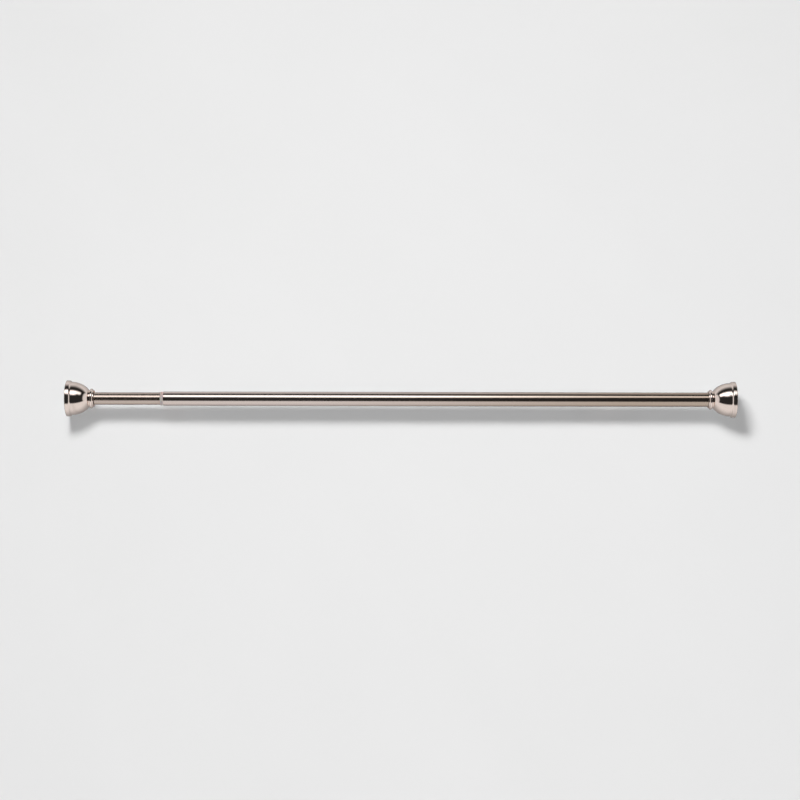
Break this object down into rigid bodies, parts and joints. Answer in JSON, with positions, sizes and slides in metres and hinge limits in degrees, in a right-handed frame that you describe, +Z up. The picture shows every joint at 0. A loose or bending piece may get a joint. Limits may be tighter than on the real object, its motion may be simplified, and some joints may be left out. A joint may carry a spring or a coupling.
{
  "type": "telescoping tension rod",
  "caption": "Round two-tube tension curtain rod that twists to lengthen, with a spring-loaded rubber foot and a sliding dome cover at its ends.",
  "frame": {"origin": "centre of the fixed foot's rubber wall face, at the end of the larger tube", "axes": "+X along the rod's axis into the wall at the fixed foot, so the rod lies on the -X side; +Z up, square to the rod; the rod is round, so Z can turn about X freely"},
  "size_m": [1.176, 0.0634, 0.0634],
  "materials": {
    "satin_nickel": "satin nickel plate on a rolled steel tube, slightly warm, fine lengthwise drawing lines",
    "polished_nickel": "polished warm nickel plate on a spun steel cover",
    "white_nylon": "natural white nylon, slightly translucent",
    "black_rubber": "matt black rubber",
    "grey_plastic": "moulded grey plastic, fine texture",
    "black_plastic": "moulded black plastic, fine texture",
    "zinc_steel": "bright zinc-plated steel"
  },
  "bodies": {
    "outer_tube": {"outer_tube": "satin_nickel", "mouth_bushing": "white_nylon", "fixed_foot_core": "grey_plastic", "fixed_foot_pad": "black_rubber", "fixed_foot_pin": "zinc_steel"},
    "fixed_cover": {"fixed_dome_cover": "polished_nickel"},
    "grip": {"grip_nut": "black_plastic", "grip_sleeve": "white_nylon", "grip_ring": "zinc_steel"},
    "thrust_washer": {"thrust_washer": "zinc_steel", "foot_spring": "zinc_steel"},
    "inner_tube": {"inner_tube": "satin_nickel", "foot_bush": "white_nylon", "foot_bush_pin": "zinc_steel", "screw_plug": "black_plastic", "screw_plug_pin": "zinc_steel", "jack_screw": "zinc_steel", "screw_stop_nut": "zinc_steel"},
    "moving_foot": {"moving_foot_core": "grey_plastic", "moving_foot_pad": "black_rubber", "foot_washer": "zinc_steel", "foot_screw": "zinc_steel"},
    "moving_cover": {"moving_dome_cover": "polished_nickel"}
  },
  "joints": [
    {"name": "fixed_cover_slide", "type": "slide", "parent": "outer_tube", "child": "fixed_cover", "axis": [-1, 0, 0], "range_m": [0, 0.09]},
    {"name": "telescope", "type": "slide", "parent": "outer_tube", "child": "grip", "axis": [-1, 0, 0], "range_m": [-0.109, 0.653]},
    {"name": "screw_advance", "type": "slide", "parent": "grip", "child": "thrust_washer", "axis": [-1, 0, 0], "range_m": [0, 0.015]},
    {"name": "twist", "type": "hinge", "parent": "thrust_washer", "child": "inner_tube", "pos_m": [-0.7, 0, 0], "axis": [-1, 0, 0], "range_deg": [0, 1800]},
    {"name": "foot_press", "type": "slide", "parent": "thrust_washer", "child": "moving_foot", "axis": [1, 0, 0], "range_m": [0, 0.008], "stiffness_N_per_m": 5000, "springref_m": -0.006, "deforming": ["foot_spring"]},
    {"name": "moving_cover_slide", "type": "slide", "parent": "moving_foot", "child": "moving_cover", "axis": [1, 0, 0], "range_m": [0, 0.09]}
  ],
  "couplings": [
    {"joint": "twist", "follows": "screw_advance", "rad_per_m": 2094.4}
  ]
}
